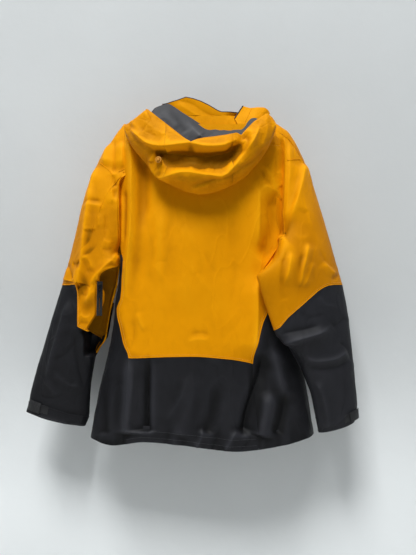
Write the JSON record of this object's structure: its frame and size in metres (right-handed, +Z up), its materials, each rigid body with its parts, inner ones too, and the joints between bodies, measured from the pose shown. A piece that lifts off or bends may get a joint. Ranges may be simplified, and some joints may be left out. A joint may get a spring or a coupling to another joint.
{
  "type": "hardshell jacket",
  "caption": "Two-tone hooded waterproof shell jacket hanging at rest, with jointed sleeves, drop hood, sliding zips, peeling cuff tabs and hem cord locks.",
  "frame": {"origin": "middle of the neck opening, level with the shoulder line at the neck, where a hanger or hook holds the jacket", "axes": "+Z up, +X towards the wearer's left, -Y towards the wearer's front, +Y out of the back"},
  "size_m": [0.835, 0.2226, 0.8763],
  "materials": {
    "shell_amber": "matte laminate",
    "shell_black": "matte laminate",
    "lining_pale": "matte",
    "lining_grey": "matte",
    "pocket_mesh": "matte",
    "webbing": "woven",
    "zip_tape": "coated",
    "zip_metal": "satin",
    "lock_plastic": "matte",
    "lock_amber": "matte",
    "hook_loop": "napped",
    "tab_rubber": "matte"
  },
  "bodies": {
    "shell": {"back_panel": "shell_amber", "back_hem_panel": "shell_black", "back_yoke": "shell_amber", "left_front_panel": "shell_amber", "right_front_panel": "shell_amber", "left_front_hem_panel": "shell_black", "right_front_hem_panel": "shell_black", "left_side_panel": "shell_black", "right_side_panel": "shell_black", "collar_shell": "shell_amber", "collar_lining": "lining_pale", "hang_loop": "webbing", "main_zip_left": "zip_tape", "main_zip_right": "zip_tape", "storm_flap": "shell_black", "left_pocket_zip": "zip_tape", "right_pocket_zip": "zip_tape", "chest_pocket_zip": "zip_tape", "left_pocket_bag": "pocket_mesh", "right_pocket_bag": "pocket_mesh", "chest_pocket_bag": "pocket_mesh", "hem_facing": "shell_black", "hem_drawcord": "webbing", "left_hem_cord_lock": "lock_plastic", "right_hem_cord_lock": "lock_plastic"},
    "hood": {"hood_left_panel": "shell_amber", "hood_centre_panel": "shell_amber", "hood_right_panel": "shell_amber", "hood_lining": "lining_grey", "hood_brim": "tab_rubber", "hood_cord_lock": "lock_amber"},
    "hood_lock_button": {"hood_lock_button": "lock_amber"},
    "left_arm": {"left_upper_sleeve": "shell_amber", "left_pit_zip": "zip_tape"},
    "left_forearm": {"left_lower_sleeve": "shell_black", "left_cuff": "shell_black", "left_cuff_patch": "hook_loop"},
    "left_cuff_tab": {"left_cuff_tab": "tab_rubber"},
    "left_hem_lock_button": {"left_hem_lock_button": "lock_plastic"},
    "right_arm": {"right_upper_sleeve": "shell_amber", "right_pit_zip": "zip_tape"},
    "right_forearm": {"right_lower_sleeve": "shell_black", "right_cuff": "shell_black", "right_cuff_patch": "hook_loop"},
    "right_cuff_tab": {"right_cuff_tab": "tab_rubber"},
    "right_hem_lock_button": {"right_hem_lock_button": "lock_plastic"},
    "main_zip_slider": {"main_zip_slider": "zip_metal"},
    "main_zip_pull": {"main_zip_pull": "zip_metal"},
    "left_pocket_zip_slider": {"left_pocket_zip_slider": "zip_metal"},
    "left_pocket_zip_pull": {"left_pocket_zip_pull": "zip_metal"},
    "right_pocket_zip_slider": {"right_pocket_zip_slider": "zip_metal"},
    "right_pocket_zip_pull": {"right_pocket_zip_pull": "zip_metal"},
    "chest_pocket_zip_slider": {"chest_pocket_zip_slider": "zip_metal"},
    "chest_pocket_zip_pull": {"chest_pocket_zip_pull": "zip_metal"},
    "left_pit_zip_slider": {"left_pit_zip_slider": "zip_metal"},
    "left_pit_zip_pull": {"left_pit_zip_pull": "zip_metal"},
    "right_pit_zip_slider": {"right_pit_zip_slider": "zip_metal"},
    "right_pit_zip_pull": {"right_pit_zip_pull": "zip_metal"}
  },
  "joints": [
    {"name": "hood_lift", "type": "hinge", "parent": "shell", "child": "hood", "pos_m": [0, 0.052, -0.012], "axis": [1, 0, 0], "range_deg": [0, 90]},
    {"name": "hood_lock_press", "type": "slide", "parent": "hood", "child": "hood_lock_button", "axis": [0.25, 0.9625, 0.1056], "range_m": [-0.001, 0], "stiffness_N_per_m": 150},
    {"name": "left_sleeve_raise", "type": "hinge", "parent": "shell", "child": "left_arm", "pos_m": [0.1832, 0, -0.055], "axis": [0, -1, 0], "range_deg": [0, 40]},
    {"name": "left_elbow_bend", "type": "hinge", "parent": "left_arm", "child": "left_forearm", "pos_m": [0.3024, -0.03433, -0.50039], "axis": [-0.6869, 0, -0.7268], "range_deg": [0, 60], "stiffness_Nm_per_rad": 0.12, "springref_deg": -20.05},
    {"name": "left_cuff_tab_peel", "type": "hinge", "parent": "left_forearm", "child": "left_cuff_tab", "pos_m": [0.43736, 0.00858, -0.71969], "axis": [0.2068, -0.0232, -0.9781], "range_deg": [0, 60]},
    {"name": "left_hem_lock_press", "type": "slide", "parent": "shell", "child": "left_hem_lock_button", "axis": [0, 0, 1], "range_m": [-0.003, 0], "stiffness_N_per_m": 150},
    {"name": "right_sleeve_raise", "type": "hinge", "parent": "shell", "child": "right_arm", "pos_m": [-0.1832, 0, -0.055], "axis": [0, 1, 0], "range_deg": [0, 40]},
    {"name": "right_elbow_bend", "type": "hinge", "parent": "right_arm", "child": "right_forearm", "pos_m": [-0.26292, 0.10172, -0.50926], "axis": [0.8246, 0, -0.5657], "range_deg": [0, 60], "stiffness_Nm_per_rad": 0.12, "springref_deg": -20.05},
    {"name": "right_cuff_tab_peel", "type": "hinge", "parent": "right_forearm", "child": "right_cuff_tab", "pos_m": [-0.3873, 0.02945, -0.73922], "axis": [0.0811, 0.0636, 0.9947], "range_deg": [0, 60]},
    {"name": "right_hem_lock_press", "type": "slide", "parent": "shell", "child": "right_hem_lock_button", "axis": [0, 0, 1], "range_m": [-0.003, 0], "stiffness_N_per_m": 150},
    {"name": "main_zip_slide", "type": "slide", "parent": "shell", "child": "main_zip_slider", "axis": [0, 0.0441, 0.999], "range_m": [-0.7237, 0]},
    {"name": "main_zip_pull_flip", "type": "hinge", "parent": "main_zip_slider", "child": "main_zip_pull", "pos_m": [0, -0.05728, -0.07787], "axis": [-1, 0, 0], "range_deg": [0, 150]},
    {"name": "left_pocket_zip_slide", "type": "slide", "parent": "shell", "child": "left_pocket_zip_slider", "axis": [-0.1361, 0.0358, 0.99], "range_m": [-0.1356, 0]},
    {"name": "left_pocket_zip_pull_flip", "type": "hinge", "parent": "left_pocket_zip_slider", "child": "left_pocket_zip_pull", "pos_m": [0.13145, -0.07311, -0.46536], "axis": [-0.9718, -0.1989, -0.1264], "range_deg": [0, 150]},
    {"name": "right_pocket_zip_slide", "type": "slide", "parent": "shell", "child": "right_pocket_zip_slider", "axis": [0.1361, 0.0358, 0.99], "range_m": [-0.1356, 0]},
    {"name": "right_pocket_zip_pull_flip", "type": "hinge", "parent": "right_pocket_zip_slider", "child": "right_pocket_zip_pull", "pos_m": [-0.13145, -0.07311, -0.46536], "axis": [-0.9718, 0.1989, 0.1264], "range_deg": [0, 150]},
    {"name": "chest_pocket_zip_slide", "type": "slide", "parent": "shell", "child": "chest_pocket_zip_slider", "axis": [0, 0.039, 0.9992], "range_m": [-0.1181, 0]},
    {"name": "chest_pocket_zip_pull_flip", "type": "hinge", "parent": "chest_pocket_zip_slider", "child": "chest_pocket_zip_pull", "pos_m": [0.07853, -0.06854, -0.19967], "axis": [-0.9979, -0.064, 0.0025], "range_deg": [0, 150]},
    {"name": "left_pit_zip_slide", "type": "slide", "parent": "left_arm", "child": "left_pit_zip_slider", "axis": [-0.0413, 0.1419, 0.989], "range_m": [-0.0596, 0]},
    {"name": "left_pit_zip_pull_flip", "type": "hinge", "parent": "left_pit_zip_slider", "child": "left_pit_zip_pull", "pos_m": [0.25218, 0.06671, -0.43777], "axis": [0.9748, 0.2231, 0.0087], "range_deg": [0, 150]},
    {"name": "right_pit_zip_slide", "type": "slide", "parent": "right_arm", "child": "right_pit_zip_slider", "axis": [0.0688, 0.2237, 0.9722], "range_m": [-0.0485, 0]},
    {"name": "right_pit_zip_pull_flip", "type": "hinge", "parent": "right_pit_zip_slider", "child": "right_pit_zip_pull", "pos_m": [-0.15606, 0.08052, -0.41247], "axis": [-0.358, -0.9041, 0.2334], "range_deg": [0, 150]}
  ]
}
